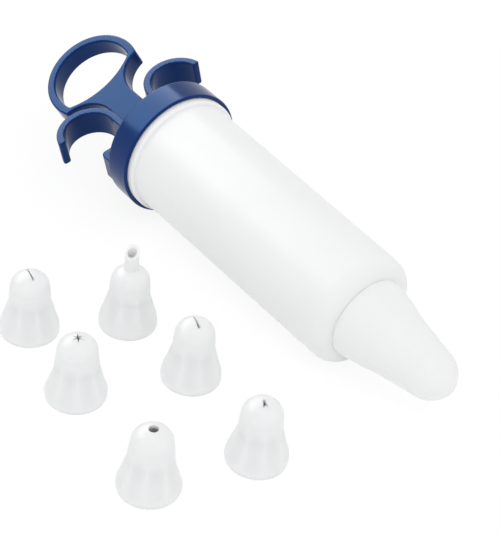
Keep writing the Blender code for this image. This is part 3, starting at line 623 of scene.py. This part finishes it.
COVER_GAP = 0.01
COVER_COLLAR_LENGTH = 15.0
COVER_COLLAR_POWER = 1.4
COVER_COLLAR_DROP = 3.3
COVER_CONE_LENGTH = 18.0
COVER_CONE_TAPER = 3.2
COVER_NOSE_LENGTH = 9.0
COVER_NOSE_POWER = 1.65
COVER_WALL = 1.4
COVER_ROOT_EDGE = 0.04
COVER_SEAT_DEPTH = 3.0
COVER_MOUTH_EDGE = 0.3
COVER_ROWS = 40
COVER_BASE = BARREL_LENGTH + FIT_GAP
COVER_NECK_RADIUS = FRONT_FACE_RADIUS - COVER_COLLAR_DROP
COVER_END_RADIUS = COVER_NECK_RADIUS - COVER_CONE_TAPER


def cover_side(inset):
    """Side of the cover from apex to root: round nose, straight cone, then a widening collar."""
    neck = COVER_BASE + COVER_COLLAR_LENGTH
    nose = superellipse(COVER_END_RADIUS - inset, COVER_NOSE_LENGTH - inset, COVER_NOSE_POWER,
                        COVER_ROWS)
    nose = np.stack([neck + COVER_CONE_LENGTH + nose[:, 1], nose[:, 0]], 1)
    share = np.linspace(1, 0, COVER_ROWS)
    radius = FRONT_FACE_RADIUS - COVER_COLLAR_DROP * share**COVER_COLLAR_POWER - inset
    collar = np.stack([COVER_BASE + COVER_COLLAR_LENGTH * share, radius], 1)
    return np.concatenate([nose, collar])


def make_cover():
    """Hollow cone with a round closed nose, seated on the barrel's ring."""
    root = BARREL_LENGTH + COVER_GAP
    bore = SEAT_RADIUS + FIT_GAP
    seat_end = COVER_BASE + COVER_SEAT_DEPTH
    outside = cover_side(0)
    outside = outside[outside[:, 0] > COVER_BASE + COVER_ROOT_EDGE]
    inside = cover_side(COVER_WALL)
    inside = inside[inside[:, 0] > seat_end][::-1]
    seat = rounded([
        (*outside[-1], 0),
        (root, FRONT_FACE_RADIUS, COVER_ROOT_EDGE),
        (root, bore, COVER_MOUTH_EDGE),
        (seat_end, bore, 0),
    ], closed=False)[1:]
    profile = np.concatenate([outside, seat, inside])
    return turned("nozzle_cover_shell", profile, syringe_place(), closed=False)


# Tips

TIP_HEIGHT = 24.8
TIP_WALL = 1.3
TIP_DOME_START = 18.5
TIP_DOME_RADIUS = 6.95
TIP_DOME_POWER = 2.2
TIP_NECK = (13.5, 7.7)
TIP_SKIRT = (7.5, 9.15)
TIP_WIDEST = (1.4, 10.6)
TIP_FOOT_RADIUS = 10.3
TIP_FOOT_EDGE = 0.3
TIP_FLATS = 8
TIP_FLAT_FOOT_RADIUS = 11.1
TIP_FLAT_NECK = (13.0, 7.0)
TIP_FLAT_TOP = (26.8, 8.6)
TIP_FLAT_BEND = 0.2
TIP_FLAT_EASE = 0.12
TIP_STEPS = 192
TIP_ROWS = 44
POLE_RADIUS = 0.02
SLIT_WIDTH = 0.55
SLIT_REAR_REACH = 3.4
LONG_SLIT_REACH = 3.2
SHORT_SLIT_REACH = 3.1
SHORT_SLIT_FRONT_WIDTH = 0.8
LEAF_SLIT_WIDTH = 0.6
LEAF_SLIT_FLARE = 1.5
LEAF_SLIT_NOTCH = 0.9
LEAF_SLIT_REACH = 2.5
STAR_POINTS = 6
STAR_OUTER_RADIUS = 2.3
STAR_INNER_RADIUS = 0.7
ROUND_OUTLET_RADIUS = 1.6
TUBE_RADIUS = 2.5
TUBE_BORE_RADIUS = 1.6
TUBE_LENGTH = 8.4
TUBE_CUT_ANGLE = math.radians(35)
TUBE_FOOT_ROUND = 0.7
TUBE_RIM_EDGE = 0.15
TUBE_ROWS = 24
TUBE_FOOT_STEPS = 7


def bell(inset, crown):
    """Side of a tip as (height, radius) rows, from its crown at a given radius to its foot."""
    dome = superellipse(TIP_DOME_RADIUS - inset, TIP_HEIGHT - TIP_DOME_START - inset,
                        TIP_DOME_POWER, TIP_ROWS)
    dome = np.stack([TIP_DOME_START + dome[:, 1], dome[:, 0]], 1)
    level = np.interp(crown, dome[:, 1], dome[:, 0])
    dome = np.concatenate([[(level, crown)], dome[dome[:, 1] > crown + POLE_RADIUS]])
    skirt = smooth_curve([(TIP_DOME_START, TIP_DOME_RADIUS), TIP_NECK, TIP_SKIRT, TIP_WIDEST,
                          (0, TIP_FOOT_RADIUS)], TIP_ROWS)
    skirt[:, 1] -= inset
    return np.concatenate([dome, skirt[1:]])


def tip_rows(outer_crown, inner_crown):
    """Rows of a tip as (height, radius, on its outside).

    They run down the outside, round the rim of the foot, and up the inside.
    """
    outside = bell(0, outer_crown)
    inside = bell(TIP_WALL, inner_crown)[::-1]
    foot = rounded([
        (*outside[-2], 0),
        (0, TIP_FOOT_RADIUS, TIP_FOOT_EDGE),
        (0, TIP_FOOT_RADIUS - TIP_WALL, TIP_FOOT_EDGE),
        (*inside[1], 0),
    ], closed=False)[1:-1]
    rows = np.concatenate([outside[:-1], foot, inside[1:]])
    flag = np.zeros((len(rows), 1))
    flag[:len(outside) + BEND_STEPS // 2] = 1
    return np.concatenate([rows, flag], 1)


def smooth_minimum(first, second, ease):
    """The lesser of two values, eased where they come near each other."""
    return -ease * np.logaddexp(-first / ease, -second / ease)


def tip_surface(name, rows, closed=True):
    """Tip from rows turned about Z, its outside eased to eight flats.

    The radius is the smooth minimum of the bell's and the flats': -k log(e^(-a/k) + e^(-b/k)).
    A flat's distance from the axis is the smooth maximum of two straight lines, one that
    falls from the foot to the neck and one that rises above it.
    """
    angle = np.linspace(0, 2 * np.pi, TIP_STEPS, endpoint=False)
    height, radius, outside = rows[:, :1], rows[:, 1:2], rows[:, 2:3] > 0.5
    sector = 2 * np.pi / TIP_FLATS
    lower = height * (TIP_FLAT_NECK[1] - TIP_FLAT_FOOT_RADIUS) / TIP_FLAT_NECK[0]
    rise = (TIP_FLAT_TOP[1] - TIP_FLAT_NECK[1]) / (TIP_FLAT_TOP[0] - TIP_FLAT_NECK[0])
    upper = TIP_FLAT_NECK[1] + (height - TIP_FLAT_NECK[0]) * rise
    flat = -smooth_minimum(-lower - TIP_FLAT_FOOT_RADIUS, -upper, TIP_FLAT_BEND)
    flat = flat / np.cos(np.mod(angle, sector) - sector / 2)
    eased = smooth_minimum(radius, flat, TIP_FLAT_EASE)
    shape = np.where(outside, eased, radius)
    level = np.broadcast_to(height, shape.shape)
    points = np.stack([shape * np.cos(angle), shape * np.sin(angle), level], -1)
    faces = grid_faces(len(rows), TIP_STEPS, closed)
    return mesh_object(name + "_bell", points.reshape(-1, 3), faces, tip_place(name))


def slit(front_reach, rear_width, front_width):
    """Outline of a straight slit from behind the crown to its front."""
    rear, front = rear_width / 2, front_width / 2
    return [(-SLIT_REAR_REACH, rear), (-SLIT_REAR_REACH, -rear),
            (front_reach, -front), (front_reach, front)]


def star():
    """Outline of a star: the two radii by turns, at equal angles."""
    step = np.arange(2 * STAR_POINTS)
    angle = np.pi * step / STAR_POINTS
    radius = np.where(step % 2, STAR_INNER_RADIUS, STAR_OUTER_RADIUS)
    return np.stack([radius * np.cos(angle), radius * np.sin(angle)], 1)


def leaf():
    """Outline of a narrow slit that opens to a swallow tail."""
    half, tail = LEAF_SLIT_WIDTH / 2, LEAF_SLIT_FLARE / 2
    return [(-LEAF_SLIT_NOTCH, half), (-LEAF_SLIT_NOTCH, -half), (LEAF_SLIT_REACH, -tail),
            (LEAF_SLIT_REACH - LEAF_SLIT_NOTCH, 0), (LEAF_SLIT_REACH, tail)]


def cut_tip(name, outline):
    """Tip with a closed crown, cut through by the outline of its outlet."""
    tip = tip_surface(name, tip_rows(POLE_RADIUS, POLE_RADIUS))
    cutter = prism("outlet", outline, TIP_DOME_START, TIP_HEIGHT + 1, tip_place(name))
    combine(tip, cutter, "DIFFERENCE")
    return tip


def tube_tip(name):
    """Filling tip: its crown rises into a tube whose end is cut on a slant.

    Above the crown each point drops by (x + tube radius) tan(cut angle), times its share of
    the tube's height, so that the top row lies in the plane of the cut.
    """
    rows = tip_rows(TUBE_RADIUS + TUBE_FOOT_ROUND, TUBE_BORE_RADIUS)
    top = TIP_HEIGHT + TUBE_LENGTH
    base = rows[0, 0] + TUBE_FOOT_ROUND
    rising = np.linspace(base, top - TUBE_RIM_EDGE, TUBE_ROWS)[:, None]
    bend = arc((base, TUBE_RADIUS + TUBE_FOOT_ROUND), TUBE_FOOT_ROUND, 270, 180,
               TUBE_FOOT_STEPS)[:-1]
    neck = np.concatenate([
        [(top, TUBE_RADIUS - TUBE_RIM_EDGE)],
        np.concatenate([rising[::-1], np.full_like(rising, TUBE_RADIUS)], 1)[:-1],
        bend,
    ])
    bore = np.concatenate([
        np.concatenate([rising, np.full_like(rising, TUBE_BORE_RADIUS)], 1),
        [(top, TUBE_BORE_RADIUS + TUBE_RIM_EDGE)],
    ])
    # A third column of zeros keeps the flats off the tube
    neck, bore = (np.pad(part, ((0, 0), (0, 1))) for part in (neck, bore))
    tip = tip_surface(name, np.concatenate([neck, rows, bore]))
    mesh = tip.data
    points = np.zeros(len(mesh.vertices) * 3)
    mesh.vertices.foreach_get("co", points)
    points = points.reshape(-1, 3)
    stand = tip_place(name)
    toward = np.array(stand.to_3x3().normalized().col[0])
    ahead = (points - np.array(stand.translation)) @ toward
    share = np.clip((points[:, 2] - base * MM) / ((top - base) * MM), 0, 1)
    points[:, 2] -= share * (ahead + TUBE_RADIUS * MM) * math.tan(TUBE_CUT_ANGLE)
    mesh.vertices.foreach_set("co", points.ravel())
    mesh.update()
    return tip


# Pieces on their bodies

finish_piece(make_barrel(), white_polypropylene, "barrel_body", "barrel")
finish_piece(make_cap(), blue_polypropylene, "cap_body", "grip_cap")
finish_piece(make_plunger(), blue_polypropylene, "plunger_body", "plunger")
finish_piece(make_cover(), white_polypropylene, "cover_body", "nozzle_cover")

long_slit = slit(LONG_SLIT_REACH, SLIT_WIDTH, SLIT_WIDTH)
short_slit = slit(SHORT_SLIT_REACH, SLIT_WIDTH / 2, SHORT_SLIT_FRONT_WIDTH)
round_rows = tip_rows(ROUND_OUTLET_RADIUS, ROUND_OUTLET_RADIUS)
tips = {
    "tip_long_slit": cut_tip("tip_long_slit", long_slit),
    "tip_short_slit": cut_tip("tip_short_slit", short_slit),
    "tip_leaf": cut_tip("tip_leaf", leaf()),
    "tip_star": cut_tip("tip_star", star()),
    "tip_round": tip_surface("tip_round", round_rows),
    "tip_tube": tube_tip("tip_tube"),
}
for name, tip in tips.items():
    finish_piece(tip, tip_polypropylene, name + "_body", name)

# The piston and its seal keep the shapes of their solids and take better materials
for node, material in (("piston_head", white_polypropylene), ("piston_seal", silicone_rubber)):
    frame["nodes"][node].data.materials.clear()
    frame["nodes"][node].data.materials.append(material)


# Stage

WHITE = (1, 1, 1, 1)
FLOOR_HALF = 1.5
FLOOR_DROP = 0.05 * MM
FLOOR_GLOW = 0.86
FLOOR_SHADE = (0.16, 0.16, 0.16, 1)
WORLD_STRENGTH = 0.86


def seen_directly(tree, plain, shown):
    """Mix of a plain shader for scattered light and one for what is seen or mirrored."""
    rays = add_node(tree, "ShaderNodeLightPath").outputs
    seen = rays["Is Camera Ray"]
    for ray in ("Is Glossy Ray", "Is Transmission Ray"):
        seen = add_node(tree, "ShaderNodeMath", {"operation": "MAXIMUM"},
                        links={0: seen, 1: rays[ray]}).outputs[0]
    return add_node(tree, "ShaderNodeMixShader", links={0: seen, 1: plain, 2: shown})


def make_floor():
    """Pale sheet below everything, in metres, that keeps the soft shadow and shows as white."""
    corners = [(-1, -1, 0), (1, -1, 0), (1, 1, 0), (-1, 1, 0)]
    points = np.array(corners) * FLOOR_HALF
    lower = Matrix.Translation((0, 0, -FLOOR_DROP))
    floor = mesh_object("floor", points, [[0, 1, 2, 3]], lower)
    material = bpy.data.materials.new("white_paper_sweep")
    material.use_nodes = True
    tree = material.node_tree
    tree.nodes.remove(tree.nodes["Principled BSDF"])
    paper = add_node(tree, "ShaderNodeBsdfDiffuse", inputs={"Color": linear("#FDFDFD")})
    dim = add_node(tree, "ShaderNodeBsdfDiffuse", inputs={"Color": FLOOR_SHADE})
    glow = add_node(tree, "ShaderNodeEmission", inputs={"Strength": FLOOR_GLOW})
    seen = add_node(tree, "ShaderNodeAddShader", links={0: dim.outputs[0], 1: glow.outputs[0]})
    mix = seen_directly(tree, paper.outputs[0], seen.outputs[0])
    tree.links.new(mix.outputs[0], tree.nodes["Material Output"].inputs["Surface"])
    floor.data.materials.append(material)


def add_soft_box(name, direction, distance, width, height, radiance, only_mirrored=False):
    """Soft box that looks at the object; its power is pi times its area times its radiance.

    A box that is only mirrored gives a gloss to the faces that reflect it, and no light.
    """
    lamp = bpy.data.lights.new(name, "AREA")
    lamp.shape = "RECTANGLE"
    lamp.size = width
    lamp.size_y = height
    lamp.energy = math.pi * width * height * radiance
    item = bpy.data.objects.new(name, lamp)
    direction = Vector(direction).normalized()
    item.location = direction * distance
    item.rotation_euler = direction.to_track_quat("Z", "Y").to_euler()
    item.visible_diffuse = not only_mirrored
    bpy.context.scene.collection.objects.link(item)


def make_world():
    """Even pale studio surround; the camera sees it as white."""
    world = bpy.data.worlds.new("studio")
    bpy.context.scene.world = world
    world.use_nodes = True
    tree = world.node_tree
    plain = tree.nodes["Background"]
    plain.inputs["Color"].default_value = WHITE
    plain.inputs["Strength"].default_value = WORLD_STRENGTH
    white = add_node(tree, "ShaderNodeBackground", inputs={"Color": WHITE})
    mix = seen_directly(tree, plain.outputs[0], white.outputs[0])
    tree.links.new(mix.outputs[0], tree.nodes["World Output"].inputs["Surface"])


make_floor()
make_world()
# The box above the camera lights everything, and the one behind the handle shows as its gloss
add_soft_box("rear_soft_box", (-0.72, -0.10, 0.62), distance=1.0, width=1.3, height=0.62,
             radiance=6.4, only_mirrored=True)
add_soft_box("camera_soft_box", (0.35, -0.30, 0.89), distance=1.2, width=0.8, height=0.8,
             radiance=0.8)

# The photograph's camera: seen from the front right, a little rolled
CAMERA_PLACE = (329.64 * MM, -260.46 * MM, 330.6 * MM)
CAMERA_AZIMUTH = math.radians(47.0)
CAMERA_ELEVATION = math.radians(37.14)
CAMERA_ROLL = math.radians(7.48)
CAMERA_LENS = 96.1
CAMERA_NEAR = 20 * MM

camera = bpy.data.objects.new("camera", bpy.data.cameras.new("camera"))
camera.data.lens = CAMERA_LENS
camera.data.clip_start = CAMERA_NEAR
camera.matrix_world = (Matrix.Translation(CAMERA_PLACE)
                       @ Matrix.Rotation(CAMERA_AZIMUTH, 4, "Z")
                       @ Matrix.Rotation(math.pi / 2 - CAMERA_ELEVATION, 4, "X")
                       @ Matrix.Rotation(CAMERA_ROLL, 4, "Z"))
bpy.context.scene.collection.objects.link(camera)
bpy.context.scene.camera = camera
bpy.context.scene.view_settings.view_transform = "Standard"
